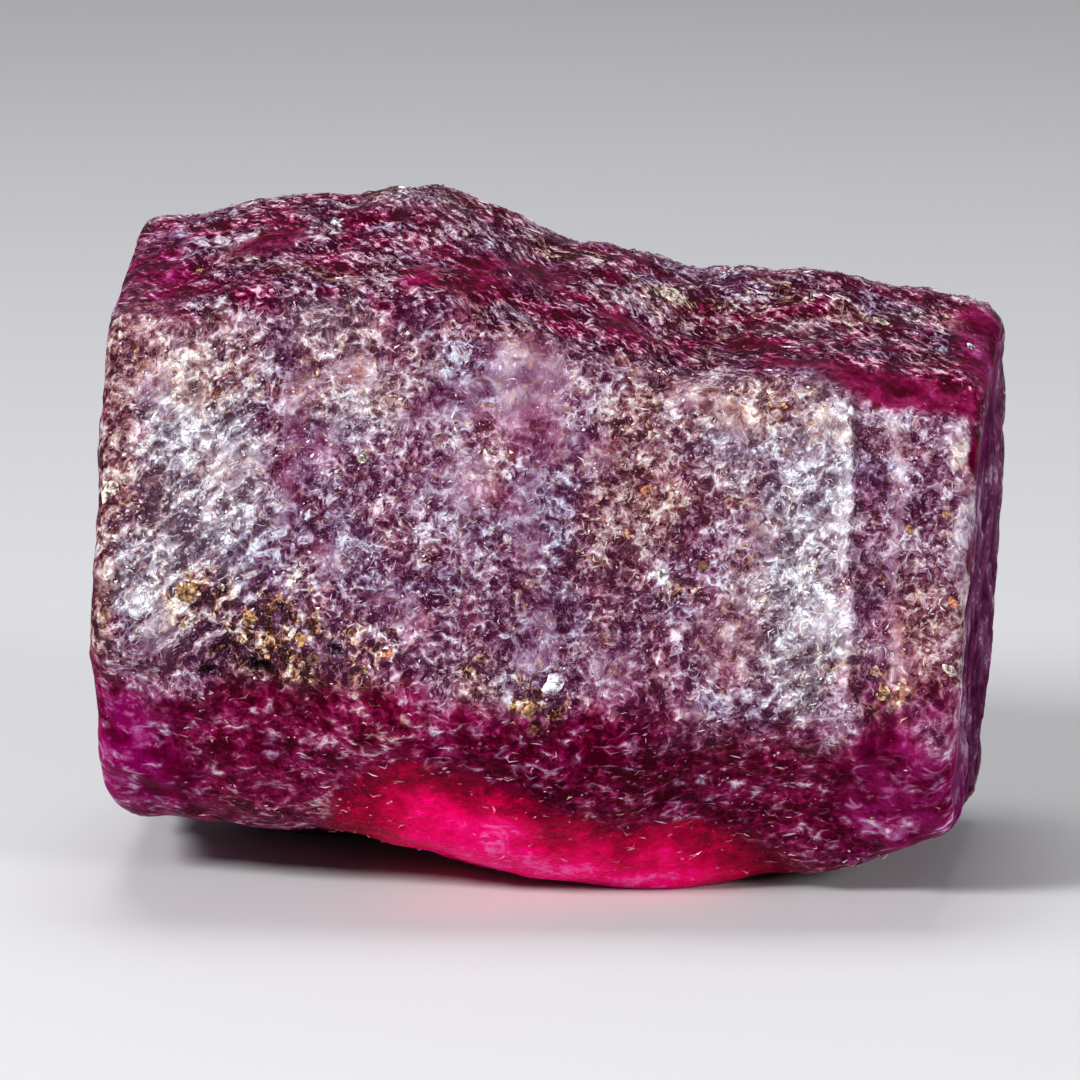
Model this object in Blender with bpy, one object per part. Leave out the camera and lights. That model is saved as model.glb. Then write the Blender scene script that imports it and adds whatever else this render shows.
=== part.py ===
"""A raw ruby crystal: one stubby, tapering, six-sided barrel of corundum, lying on its side.

Run it with   blender --background --python part.py   or from Blender's text editor.

Metres, +Z up. The c axis runs along X with its right-hand (+X) end a little lower, and the front is -Y.
The crystal rests on z = 0, on a worn flat under its belly. Directions round the c axis are in degrees:
0 points to the front, 90 straight up, 180 to the back.
"""

import math

import bmesh
import bpy
from mathutils import Matrix, Vector, noise

MM = 0.001

# --- Driving dimensions, in millimetres unless the name says degrees -----------------------------
LENGTH = 21.2  # between the two basal end faces, along the c axis
AXIS_DIP_DEGREES = 5.5  # how far the right-hand end points down
AXIS_HEIGHT = 7.05  # of the middle of the c axis above the surface that the crystal rests on
EDGE_SHARPNESS = 17  # power of the rounded hexagon: a higher one gives a sharper prism edge

# The prism faces: the direction that each looks in, and how far it lies from the c axis at stations
# along that axis, as (millimetres from the middle, distance). The barrel narrows to the right.
PRISM_FACES = (
    ("front", 20, ((-11, 7.1), (-4, 7.35), (4, 7.15), (11, 6.8))),
    ("top", 78, ((-11, 6.85), (-6, 7.95), (-3.5, 8.2), (0.2, 7.4), (3.6, 6.85), (5.8, 7.25), (11, 6.95))),
    ("upper_back", 141, ((-11, 7.2), (-3, 7.9), (3, 7.5), (11, 7.0))),
    ("lower_back", 200, ((-11, 7.2), (0, 7.5), (11, 6.7))),
    ("belly", 276, ((-11, 6.9), (-5, 6.5), (1, 7.15), (3.6, 7.3), (7, 6.4), (11, 4.7))),
    ("lower_front", 321, ((-11, 7.2), (-5, 7.8), (0.5, 8.0), (7, 7.1), (11, 7.2))),
)

# Where a basal end face meets the sides, the edge is worn round. The radius swells towards one
# direction: (plain radius, swollen radius, direction of the swelling in degrees).
LEFT_EDGE = (0.8, 0.5, 90)
RIGHT_EDGE = (0.7, 1.0, 270)
EDGE_SWELLING_DEGREES = 40  # half width of the swelling

# The end faces lean: how far each station shifts for a millimetre of depth and of height, at the end.
LEFT_LEAN = (0.0, -0.07)
RIGHT_LEAN = (0.05, -0.04)

# Lumps and hollows that stand out from a step away: (station, direction, height, half length along
# the axis, half width round it). A negative height is a hollow.
LANDMARKS = (
    ("crest_lump", -4.0, 98, 0.30, 1.8, 2.2),
    ("crest_notch", -1.0, 96, -0.25, 0.7, 1.6),
    ("terrace_rim", 1.4, 92, 0.22, 1.3, 0.7),
    ("terrace_trough", -0.9, 80, -0.22, 0.6, 1.5),
    ("saddle", 3.6, 78, -0.30, 2.2, 2.6),
    ("left_dish", -7.6, 24, -0.28, 1.6, 2.0),
    ("left_swell", -9.0, 2, 0.18, 1.4, 1.8),
    ("middle_dish", 1.2, 14, -0.22, 2.4, 1.9),
    ("right_swell", 5.9, 12, 0.24, 0.9, 3.0),
    ("stained_hollow", -7.2, -13, -0.24, 2.3, 1.1),
    ("heel", -5.4, 243, 1.3, 2.6, 2.4),
    ("back_dish", -3.0, 168, -0.35, 2.6, 2.2),
    ("back_scar", 5.0, 196, -0.40, 1.5, 1.7),
    ("back_hollow", -6.6, 136, -0.35, 1.7, 1.9),
    ("back_ridge", 4.2, 138, 0.26, 0.8, 3.2),
)

# Growth ledges cross the front face square to the c axis: (station, height, half length). Each is
# gentle on its left, where its half length is stretched, and steep on its right.
GROWTH_LEDGES = ((7.1, 0.16, 0.42), (8.7, 0.12, 0.38), (10.1, 0.14, 0.40))
LEDGE_DIRECTION, LEDGE_HALF_WIDTH_DEGREES = 14, 34
LEDGE_GENTLE_STRETCH, LEDGE_STEEP_STRETCH = 1.6, 0.7

# Relief of the whole etched skin: (wavelength, height) of each layer of noise.
SKIN_RELIEF = ((4.2, 0.16), (2.0, 0.11), (1.3, 0.05))

# Basal end faces are parting planes: nearly flat, crossed by one low step.
END_STEP_HEIGHT = 0.16
END_STEP_WIDTH = 0.5
END_STEP_PLACE = 1.5  # depth behind the c axis on the right end, and before it on the left
END_STEP_SLANT_DEGREES = 12
END_WAVES = (3.0, 0.05)  # wavelength and height
END_WAVES_APART = 7  # how far apart the two ends lie in the noise, so that they differ

RUBY_COLOUR = (0.25, 0.03, 0.11, 1.0)  # linear

# --- Mesh resolution ----------------------------------------------------------------------------
AROUND = 84  # points round the barrel
STATIONS = 44  # rings along the straight part of the barrel
EDGE_RINGS = 3  # rings in each worn end edge
END_RINGS = 4  # rings inside each end face
CENTRE_SHARE = 0.13  # radius of the innermost ring, as a share of the end face's
SETTLING_SHARE = 0.6  # how far in from its rim an end face takes up its step and waves


def blend_along(profile, station):
    """The value at a station, on a smooth curve through the (station, value) points of the profile."""
    if station <= profile[0][0]:
        return profile[0][1]
    for (low, low_value), (high, high_value) in zip(profile, profile[1:]):
        if station <= high:
            share = (station - low) / (high - low)
            return low_value + (high_value - low_value) * share * share * (3 - 2 * share)
    return profile[-1][1]


def angle_between(direction, other):
    """Degrees from one direction round the axis to the other, between -180 and 180."""
    return (direction - other + 180) % 360 - 180


def bell(distance, half_width):
    """1 at no distance, falling smoothly to near 0 past two half widths."""
    return math.exp(-((distance / half_width) ** 2))


def hexagon_radius(station, direction):
    """Distance from the c axis to the rounded hexagon that the six prism faces enclose."""
    total = 0.0
    for _, faces, profile in PRISM_FACES:
        lean = math.cos(math.radians(angle_between(direction, faces)))
        if lean > 0:
            total += (lean / blend_along(profile, station)) ** EDGE_SHARPNESS
    return total ** (-1 / EDGE_SHARPNESS)


def landmark_height(station, direction, radius):
    """The lumps, dishes and pits at this point of the side."""
    height = 0.0
    for _, at, towards, size, half_length, half_width in LANDMARKS:
        sideways = math.radians(angle_between(direction, towards)) * radius
        height += size * bell(station - at, half_length) * bell(sideways, half_width)
    return height


def ledge_height(station, direction):
    """The growth ledges, each steep on its right-hand side."""
    fade = bell(angle_between(direction, LEDGE_DIRECTION), LEDGE_HALF_WIDTH_DEGREES)
    height = 0.0
    for at, size, half_length in GROWTH_LEDGES:
        offset = station - at
        stretch = LEDGE_GENTLE_STRETCH if offset < 0 else LEDGE_STEEP_STRETCH
        height += size * bell(offset, half_length * stretch)
    return height * fade


def skin_height(point):
    """Uneven etching of the skin, from layers of noise."""
    return sum(size * noise.noise(point / wavelength) for wavelength, size in SKIN_RELIEF)


def side_radius(station, direction):
    """Distance from the c axis to the side, with all of its relief, in millimetres."""
    radius = hexagon_radius(station, direction)
    angle = math.radians(direction)
    point = Vector((station, -radius * math.cos(angle), radius * math.sin(angle)))
    relief = landmark_height(station, direction, radius) + ledge_height(station, direction)
    return radius + relief + skin_height(point)


def edge_radius(end_edge, direction):
    """Radius of the worn edge of an end face in this direction."""
    plain, swollen, towards = end_edge
    return plain + (swollen - plain) * bell(angle_between(direction, towards), EDGE_SWELLING_DEGREES)


def end_offset(side, depth, height):
    """How far the end face stands out from its plane at this depth and height, in millimetres."""
    slant = math.radians(END_STEP_SLANT_DEGREES)
    across = depth * math.cos(slant) + height * math.sin(slant) - END_STEP_PLACE * side
    step = END_STEP_HEIGHT * (math.tanh(across / END_STEP_WIDTH) - 1) / 2
    wavelength, size = END_WAVES
    place = Vector((depth / wavelength, height / wavelength, END_WAVES_APART * side))
    return step + size * noise.noise(place)


def ring(bm, places):
    """A ring of vertices, from (station, radius, direction) places in millimetres."""
    vertices = []
    for station, radius, direction in places:
        angle = math.radians(direction)
        point = Vector((station, -radius * math.cos(angle), radius * math.sin(angle)))
        vertices.append(bm.verts.new(point * MM))
    return vertices


def end_rings(bm, side, end_edge, directions):
    """The rings of one end, from the side over the worn edge and in to the middle, in that order."""
    rings = []
    for step in range(1, EDGE_RINGS + 1):
        turn = math.pi / 2 * step / EDGE_RINGS
        places = []
        for direction in directions:
            worn = edge_radius(end_edge, direction)
            start = LENGTH / 2 - worn
            station = start + worn * math.sin(turn)
            radius = side_radius(side * start, direction) - worn * (1 - math.cos(turn))
            places.append((side * station, radius, direction))
        rings.append(ring(bm, places))
    outline = [Vector(vertex.co) for vertex in rings[-1]]
    for step in range(1, END_RINGS + 1):
        share = 1 - (1 - CENTRE_SHARE) * step / END_RINGS
        settled = min(1.0, step / END_RINGS / SETTLING_SHARE)
        vertices = []
        for rim in outline:
            depth, height = rim.y / MM * share, rim.z / MM * share
            station = side * (LENGTH / 2 + settled * end_offset(side, depth, height))
            vertices.append(bm.verts.new(Vector((station, depth, height)) * MM))
        rings.append(vertices)
    return rings


def join_rings(bm, rings):
    """Faces between each ring and the next, turned so that they face out when the rings run to +X."""
    for lower, upper in zip(rings, rings[1:]):
        for i in range(AROUND):
            j = (i + 1) % AROUND
            bm.faces.new((lower[i], lower[j], upper[j], upper[i]))


def close_end(bm, innermost, side):
    """The fan of faces in the middle of an end face."""
    middle = sum((vertex.co for vertex in innermost), Vector()) / AROUND
    centre = bm.verts.new(middle)
    for i in range(AROUND):
        j = (i + 1) % AROUND
        corners = (innermost[i], innermost[j], centre)
        bm.faces.new(corners if side > 0 else corners[::-1])


def barrel(bm):
    """The whole skin of the crystal, before it is laid down."""
    directions = [360 * i / AROUND for i in range(AROUND)]
    rings = end_rings(bm, -1, LEFT_EDGE, directions)[::-1]
    for step in range(STATIONS):
        share = step / (STATIONS - 1)
        places = []
        for direction in directions:
            first = -LENGTH / 2 + edge_radius(LEFT_EDGE, direction)
            last = LENGTH / 2 - edge_radius(RIGHT_EDGE, direction)
            station = first + (last - first) * share
            places.append((station, side_radius(station, direction), direction))
        rings.append(ring(bm, places))
    rings += end_rings(bm, 1, RIGHT_EDGE, directions)
    join_rings(bm, rings)
    close_end(bm, rings[0], -1)
    close_end(bm, rings[-1], 1)


def lean_ends(bm):
    """Shears each half of the barrel along the c axis, so that its end face leans."""
    for vertex in bm.verts:
        share = vertex.co.x / (LENGTH * MM / 2)
        for_depth, for_height = RIGHT_LEAN if share > 0 else LEFT_LEAN
        vertex.co.x += abs(share) * (vertex.co.y * for_depth + vertex.co.z * for_height)


def lay_down(bm):
    """Dips the axis, lifts the crystal to its height, and wears its belly flat where it rests."""
    dip = Matrix.Rotation(math.radians(AXIS_DIP_DEGREES), 4, "Y")
    lift = Matrix.Translation(Vector((0, 0, AXIS_HEIGHT * MM)))
    bmesh.ops.transform(bm, matrix=lift @ dip, verts=bm.verts)
    everything = bm.verts[:] + bm.edges[:] + bm.faces[:]
    cut = bmesh.ops.bisect_plane(
        bm, geom=everything, plane_co=(0, 0, 0), plane_no=(0, 0, -1), clear_outer=True
    )
    rim = [item for item in cut["geom_cut"] if isinstance(item, bmesh.types.BMEdge)]
    bmesh.ops.contextual_create(bm, geom=rim)


def centre_on_origin(bm):
    """Moves the crystal so that the middle of its box is over the origin."""
    for axis in (0, 1):
        values = [vertex.co[axis] for vertex in bm.verts]
        shift = Vector((0, 0, 0))
        shift[axis] = -(min(values) + max(values)) / 2
        bmesh.ops.translate(bm, vec=shift, verts=bm.verts)


def ruby_material():
    """Translucent, purplish red stone with a waxy lustre."""
    material = bpy.data.materials.new("ruby")
    material.use_nodes = True
    shader = material.node_tree.nodes["Principled BSDF"]
    shader.inputs["Base Color"].default_value = RUBY_COLOUR
    shader.inputs["Roughness"].default_value = 0.35
    shader.inputs["Metallic"].default_value = 0.0
    return material


def ruby_crystal():
    """The crystal, as one closed solid."""
    bm = bmesh.new()
    barrel(bm)
    lean_ends(bm)
    lay_down(bm)
    centre_on_origin(bm)
    bmesh.ops.recalc_face_normals(bm, faces=bm.faces)
    mesh = bpy.data.meshes.new("ruby_crystal")
    bm.to_mesh(mesh)
    bm.free()
    mesh.materials.append(ruby_material())
    mesh.shade_smooth()
    crystal = bpy.data.objects.new("ruby_crystal", mesh)
    bpy.context.scene.collection.objects.link(crystal)
    return crystal


def main():
    for existing in list(bpy.data.objects):
        bpy.data.objects.remove(existing)
    ruby_crystal()


main()
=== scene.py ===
"""The looks of a raw ruby crystal: a translucent, purplish red barrel under an etched skin of needles,
flakes and small mineral grains.

Work in this script is done in millimetres, and MM turns it into the scene's metres. A place on the
crystal is given by its station, in millimetres along the c axis from its middle, and its direction round
that axis in degrees: 0 looks to the front, 90 straight up and 180 to the back.
"""

import math

import bmesh
import bpy
import numpy as np
from mathutils import Matrix, Vector, noise


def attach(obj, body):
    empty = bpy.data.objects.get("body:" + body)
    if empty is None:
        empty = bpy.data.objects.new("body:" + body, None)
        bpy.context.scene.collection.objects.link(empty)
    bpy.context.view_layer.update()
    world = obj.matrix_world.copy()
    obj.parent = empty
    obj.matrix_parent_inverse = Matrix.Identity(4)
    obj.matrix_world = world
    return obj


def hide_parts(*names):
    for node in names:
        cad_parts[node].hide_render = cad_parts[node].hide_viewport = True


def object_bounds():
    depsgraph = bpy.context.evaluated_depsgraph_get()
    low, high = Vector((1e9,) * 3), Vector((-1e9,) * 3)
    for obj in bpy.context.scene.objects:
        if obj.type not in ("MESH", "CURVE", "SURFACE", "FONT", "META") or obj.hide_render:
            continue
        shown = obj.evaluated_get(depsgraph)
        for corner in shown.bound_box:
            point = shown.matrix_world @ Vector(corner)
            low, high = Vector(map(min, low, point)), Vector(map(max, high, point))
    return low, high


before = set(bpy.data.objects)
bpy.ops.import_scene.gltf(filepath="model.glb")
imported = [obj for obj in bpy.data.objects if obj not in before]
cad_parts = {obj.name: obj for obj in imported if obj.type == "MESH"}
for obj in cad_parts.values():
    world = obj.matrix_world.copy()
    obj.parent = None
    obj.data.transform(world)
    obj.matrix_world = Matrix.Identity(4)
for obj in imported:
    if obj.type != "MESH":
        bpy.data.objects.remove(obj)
CAD_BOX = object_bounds()

MM = 0.001
NODE = "ruby_crystal"
SEED = 41

# How the solid lies: the c axis, and the directions where one prism face ends and the next begins.
AXIS_MIDDLE = np.array((-0.166, 0.084, 7.05))
AXIS_DIP = math.radians(5.5)
C_AXIS = np.array((math.cos(AXIS_DIP), 0, -math.sin(AXIS_DIP)))
MM_PER_DEGREE = 0.131  # on the skin, at the mean radius of 7.5 mm
LOWER_CREST, UPPER_CREST = -12, 53  # of the front face
FRONT_MIDDLE_HEIGHT = 9.6
BACK_CREST = 106  # where the top face meets the upper back

VOXEL, SMOOTHING_ROUNDS = 0.125, 6  # of the skin's mesh


def add_object(name, data):
    """A new object in the scene."""
    made = bpy.data.objects.new(name, data)
    bpy.context.scene.collection.objects.link(made)
    return made


def vectors(items, key):
    """One row for each item, with the three numbers that it keeps under the key."""
    flat = np.empty(len(items) * 3)
    items.foreach_get(key, flat)
    return flat.reshape(-1, 3)


def surface(mesh):
    """The vertices, in millimetres, and their normals."""
    return vectors(mesh.vertices, "co") / MM, vectors(mesh.vertex_normals, "vector")


def unit(vectors):
    """The vectors at length 1."""
    return vectors / np.linalg.norm(vectors, axis=1, keepdims=True)


def crystal_places(points):
    """The station, and the direction in degrees, of each point."""
    away = points - AXIS_MIDDLE
    station = away[:, 0] * math.cos(AXIS_DIP) - away[:, 2] * math.sin(AXIS_DIP)
    height = away[:, 0] * math.sin(AXIS_DIP) + away[:, 2] * math.cos(AXIS_DIP)
    return station, np.degrees(np.arctan2(height, -away[:, 1]))


def distance_from_axis(points):
    """How far each point is from the c axis."""
    away = points - AXIS_MIDDLE
    return np.linalg.norm(away - (away @ C_AXIS)[:, None] * C_AXIS, axis=1)


def angle_between(direction, other):
    """Degrees from other to direction, between -180 and 180."""
    return (direction - other + 180) % 360 - 180


def offsets(station, direction, at, towards):
    """How many millimetres along the c axis, and round it, each point is from one place on the skin."""
    return station - at, angle_between(direction, towards) * MM_PER_DEGREE


def smooth_step(share):
    """0 below 0, 1 above 1 and smooth between."""
    share = np.clip(share, 0, 1)
    return share * share * (3 - 2 * share)


def between(values, low, high, soft):
    """1 from low to high, fading to 0 over a soft width centred on each of them."""
    return smooth_step((values - low) / soft + 0.5) * smooth_step((high - values) / soft + 0.5)


def around(directions, middle, half_width, soft):
    """1 within half_width degrees of the middle, fading to 0 over a soft width centred there."""
    return smooth_step((half_width - np.abs(angle_between(directions, middle))) / soft + 0.5)


def rising(values, start, width):
    """0 up to start, rising smoothly to 1 over the width."""
    return smooth_step((values - start) / width)


# --- Noise ---
LAYER_SHIFT = 31.7  # between layers of the noise, so that no two are alike
# Sums of ripples, each (strength, wavelength in millimetres, layer).
NOISE = {
    "wander": ((9, 2.6, 1), (5, 0.8, 22)),  # of the borders between faces, in degrees
    "ragged": ((1, 1.1, 2), (0.6, 0.45, 3)),  # of the patches' rims
    "waver": ((0.30, 2.0, 8), (0.16, 0.7, 9)),  # of the growth bands, in millimetres
    "worn": ((1, 2.8, 31), (0.5, 1.3, 32)),  # worn parts of the back
    "milky": ((1, 1.4, 21),),  # hazy places on the front
    "tan": ((1, 1.5, 14),),  # tan places
    "violet": ((1, 1.9, 15),),  # bluish places
    "polish": ((1, 0.9, 19),),  # small, smooth places
    "spots": ((1, 0.4, 36), (0.6, 0.2, 37)),  # of the stains
    "clumps": ((1, 1.2, 23), (0.6, 0.55, 28)),  # of smooth stone on the top and the back
    "uneven": ((0.8, 3.3, 4), (0.5, 1.2, 5)),  # brightness, over large parts
    "blotches": ((1, 0.7, 38), (0.6, 0.35, 39)),  # and over small ones
    "swells": ((0.11, 2.1, 12), (0.10, 1.0, 13)),  # of the relief, in millimetres
    "end_swells": ((0.04, 0.7, 35),),  # and of the ends' relief
    "striae": ((1, (2.2, 0.5, 1), 6), (0.6, (1.2, 0.33, 1), 7)),  # long grooves of the top
    "slant_ridges": ((4, (2.6, 0.9, 1), 24), (2, (1.3, 0.42, 1), 27)),
    "etching": ((3.2, 0.62, 10), (1.6, 0.34, 11)),  # crests between the etched hollows
    "terrace_bend": ((0.3, 1.3, 33),),  # bends in the steps of the ends, in millimetres
    "end_shade": ((0.5, 1.6, 43), (0.35, 0.8, 44), (0.25, 0.35, 45)),  # brightness of the ends
    "broken": ((1, 0.36, 46), (0.5, 0.18, 47)),  # breaks in the scratches
    "flakes": ((0.35, 0.6, 20),),  # brightness of the flakes
    "etch_bend": ((0.25, 0.8, 16),),  # shifts that bend the etching, in millimetres
    "shader_bend": ((0.11, 0.45, 40), (0.066, 0.22, 40)),  # and the shader's patterns
    "pits": ((0.8, 0.35, 26),),  # of the open pits' rims
    "lumps": ((0.7, 0.5, 25),),  # of the mineral grains
}


def ripple(points, wavelength, layer):
    """Smooth noise of about -0.7 to 0.7 at each point. The wavelength is one size, or one per axis."""
    places = points / np.array(wavelength) + LAYER_SHIFT * layer
    return np.array([noise.noise(place) for place in places.tolist()])


def rippled(points, name, on=0):
    """The noise of this name at each point, or its twin that lies some layers on."""
    return sum(strength * ripple(points, size, layer + on) for strength, size, layer in NOISE[name])


def shifts(points, name):
    """A vector for each point: the noise of this name along x, and its twins along y and z."""
    return np.column_stack([rippled(points, name, axis) for axis in range(3)])


def folded(points, name):
    """The noise of this name with each ripple folded up at 0, where that leaves winding creases."""
    return sum(strength * abs(ripple(points, *where)) for strength, *where in NOISE[name])


# --- Zones of the skin ---
# The rows of the patches are (station, direction, half length, half width, slant in degrees, strength).
# Smooth, glossy magenta, where the skin is hardly etched.
CLEAR_PATCHES = (
    (-10.3, 74, 1.1, 3.4, 12, 0.4),  # the upper left corner
    (-9.3, -40, 1.9, 2.6, 0, 1.0),  # below the left of the front face
    (-6.4, -34, 1.6, 1.2, 0, 0.7),
    (-8.2, -54, 2.2, 1.6, 0, 0.8),
    (9.0, -27, 1.7, 3.1, 0, 0.95),  # below the right of the front face
    (8.4, 54, 2.1, 0.7, -3, 0.92),  # a crimson stretch of the upper crest
    (5.9, 58, 1.2, 0.4, 0, 0.8),
    (10.1, 86, 0.9, 3.2, 0, 0.8),  # the upper right corner
    (-1.5, 77, 0.8, 2.6, -30, 0.55),  # a dark band over the hump's right flank
    (-3.6, 66, 0.5, 0.9, -20, 0.7),
    (1.3, 70, 0.6, 1.0, 0, 0.7),
    (-7.6, 80, 0.9, 0.6, 20, 0.7),
    (4.2, 72, 0.7, 0.5, 0, 0.6),
)
# Where the smooth stone is a bright magenta.
BRIGHT_PATCHES = (
    (-9.6, -40, 1.8, 3.0, 0, 1.0),
    (9.4, -29, 1.7, 3.4, 0, 1.0),
    (10.3, 84, 0.8, 3.2, 0, 1.0),
    (-10.2, 72, 1.2, 3.4, 0, 0.6),
    (8.0, 215, 2.2, 3.0, 0, 0.6),
)
# Smooth, milky mauve.
HAZE_PATCHES = (
    (-0.9, 45, 1.1, 1.2, 20, 1.0),
    (-1.8, 26, 0.7, 1.0, 60, 0.7),
    (-6.1, 30, 0.35, 2.2, 0, 0.8),
    (-9.0, 36, 0.9, 0.35, 10, 0.5),
    (4.8, 2, 0.8, 1.0, 0, 0.6),
    (2.0, -6, 0.8, 0.7, 0, 0.6),
    (-2.0, 150, 1.2, 1.2, 0, 0.9),
)
# Whitish, finely frosted patches; those on the front also carry a painted sheen, the reflection of the
# lights.
SHEEN_PATCHES = (
    (-8.2, 24, 1.5, 2.9, 18, 0.92),
    (-9.1, 4, 1.2, 1.6, 25, 0.9),
    (6.1, 30, 1.1, 2.8, 0, 0.75),
    (6.3, 8, 1.2, 2.2, 0, 0.9),
    (-5.4, 50, 1.2, 0.8, 0, 0.5),
    (-4.8, 40, 1.2, 1.0, 0, 0.4),
    (4.3, 40, 1.1, 1.5, 0, 0.5),
    (-4.0, 160, 1.4, 2.4, 20, 0.9),
    (6.0, 178, 0.9, 2.2, 0, 0.9),
    (-7.0, 128, 1.0, 1.4, 0, 0.6),
    (-4.2, 94, 1.6, 0.8, -10, 0.35),
    (2.2, 91, 0.5, 0.35, 0, 0.8),
    (5.4, 80, 1.1, 0.5, -10, 0.35),
    (8.0, 90, 0.9, 0.4, 0, 0.3),
)
# Where the etch marks run in one slanting direction.
SLANT_PATCHES = (
    (-8.4, 12, 2.6, 4.2, 0, 1.0),
    (6.4, 10, 1.4, 3.6, 0, 0.6),
    (-4.0, 165, 2.4, 3.0, 0, 0.8),
    (6.0, 190, 1.8, 3.0, 0, 0.7),
)
# Darker patches, some where the body shows through; those at and below the front face's lower crest are
# painted shade, where the stone faces down.
DARK_PATCHES = (
    (-9.0, 46, 1.5, 1.0, 0, 0.4),
    (-6.3, 48, 1.6, 0.8, 0, 0.5),
    (-10.4, 14, 0.5, 6.0, 0, 0.45),
    (-3.9, 20, 1.0, 1.2, 30, 0.5),
    (0.6, 12, 2.2, 1.4, 0, 0.6),
    (3.6, 20, 0.7, 1.8, 0, 0.7),
    (2.9, 5, 1.2, 1.0, 0, 0.5),
    (-6.1, -12, 2.4, 0.8, 0, 0.9),
    (1.6, -24, 3.6, 1.6, 0, 1.0),
    (6.3, -24, 1.9, 1.8, 0, 0.7),
    (-6.6, -20, 1.8, 1.2, 0, 0.4),
    (-1.2, 4, 2.4, 1.3, 0, 0.75),
    (2.0, 26, 1.0, 1.6, 0, 0.35),
    (-1.4, 76, 1.2, 2.4, -30, 0.45),
    (3.5, 66, 2.8, 0.9, 0, 0.5),
    (0.0, 190, 2.6, 1.8, 0, 0.6),
)
# Iron stains, brown to golden.
STAIN_PATCHES = (
    (-7.9, 0, 1.0, 0.8, 0, 0.8),
    (-6.2, -5, 1.5, 1.1, -4, 1.0),
    (-4.2, -6, 1.0, 0.7, -6, 0.7),
    (-1.0, -8, 1.2, 0.5, -6, 0.6),
    (0.4, -13, 0.9, 0.6, -6, 1.0),
    (3.4, 10, 0.5, 0.3, 0, 0.9),
    (2.5, 28, 0.35, 0.9, 30, 0.35),
    (8.4, -5, 0.8, 0.8, 0, 0.8),
    (-8.2, 40, 1.0, 0.6, 0, 0.2),
    (2.2, 42, 0.9, 0.7, 0, 0.3),
    (4.6, 47, 1.0, 0.5, 0, 0.3),
    (-3.6, 101, 1.8, 0.5, 0, 0.6),
    (-0.2, 97, 1.4, 0.4, -8, 0.8),
    (2.6, 92, 1.3, 0.6, 0, 0.8),
    (5.0, 97, 1.0, 0.7, 0, 0.6),
    (8.6, 92, 0.8, 0.5, 0, 0.5),
    (-2.0, 186, 2.2, 1.0, 20, 0.8),
    (5.0, 205, 1.4, 0.9, -15, 0.8),
)
# A faint tan or flesh tone over the etched skin.
TAN_PATCHES = (
    (-10.3, 20, 0.5, 6.0, 0, 0.9),
    (-8.6, 44, 1.8, 1.2, 0, 0.7),
    (-4.6, -18, 2.4, 0.9, 0, 0.8),
    (-6.5, -42, 2.0, 1.6, 0, 0.9),
    (2.2, 34, 1.3, 3.2, 0, 0.7),
    (4.4, 46, 1.6, 0.8, 0, 0.8),
    (9.3, 6, 0.9, 1.4, 0, 0.9),
    (4.9, 6, 1.0, 1.8, 0, 0.5),
    (-5.2, 44, 1.2, 1.2, 0, 0.5),
    (-3.0, 66, 3.0, 0.8, 0, 0.6),
    (4.6, 82, 3.4, 1.4, 0, 0.6),
    (0.0, 160, 1.6, 3.0, 20, 0.7),
    (4.0, 215, 2.2, 2.0, 0, 0.6),
    (-7.0, 165, 1.5, 2.5, 0, 0.6),
)
# Growth bands that cross the right of the front face: (station, light, smoothness). The bright lines at
# about 7.0, 8.4 and 9.8 are painted highlights, where the ledges' ridges catch the light.
BANDS_AND_LEDGE_HIGHLIGHTS = (
    (5.0, 0.00, 0.0),
    (6.0, 0.02, 0.0),
    (6.7, 0.06, 0.0),
    (6.95, 0.26, 0.45),
    (7.15, 0.30, 0.5),
    (7.24, -0.15, 0.2),
    (8.15, -0.10, 0.1),
    (8.33, 0.12, 0.8),
    (8.46, 0.12, 0.8),
    (8.60, -0.06, 0.0),
    (9.55, -0.02, 0.0),
    (9.72, 0.21, 0.5),
    (9.96, 0.23, 0.6),
    (10.06, -0.14, 1.0),
    (10.6, -0.08, 1.0),
)
BELOW_LIMIT = -78  # the lower border of the stone below the front face
UNDERSIDE, UNDERSIDE_REACH = -96, 34  # its middle, and how far it goes each way
BACK, BACK_REACH = 176, 66
END_CORNERS = 9.5  # the station past which the solid's corners belong to an end
END_START = 9.8  # and past which the skin can be that of an end
END_RIM = 0.93  # where an end's rim lies, as a share of the way from the c axis to its outline
SECTORS = np.arange(-175, 180, 10)  # the directions in which the ends' outlines are measured
SECTOR_REACH = 8  # degrees to each side of them
RIM_START = 9  # the station past which an edge between faces is an end's rim
RIGHT_RIM = 10.02  # the station where the front face gives way to the smooth right rim
# Where the etched front face gives way to the smoother stone below: (station, direction).
LOWER_EDGE = (
    (-11.0, -15),
    (-6.0, -15),
    (-4.4, -12.5),
    (-2.4, -7.5),
    (-0.8, -10.5),
    (0.6, -15),
    (11.0, -14),
)
# The clear underside, painted hot pink as a glow of light shining up through it: (station, direction at
# which it starts, strength).
GLOW = (
    (-5.0, -36, 0.0),
    (-3.6, -25, 0.4),
    (-2.6, -22, 0.75),
    (-1.6, -23, 0.9),
    (-0.4, -24, 1.0),
    (1.1, -33, 1.0),
    (3.9, -37, 1.0),
    (4.9, -39, 0.75),
    (6.0, -42, 0.35),
    (7.6, -48, 0.0),
)
GLOW_SPREAD = 17  # degrees over which it grows to its full strength
GLOW_END = -118  # the direction where it has faded out, under the crystal
BASE_LIGHT = 0.5  # the stone's place on its colour ramp, before the zones change it
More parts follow.
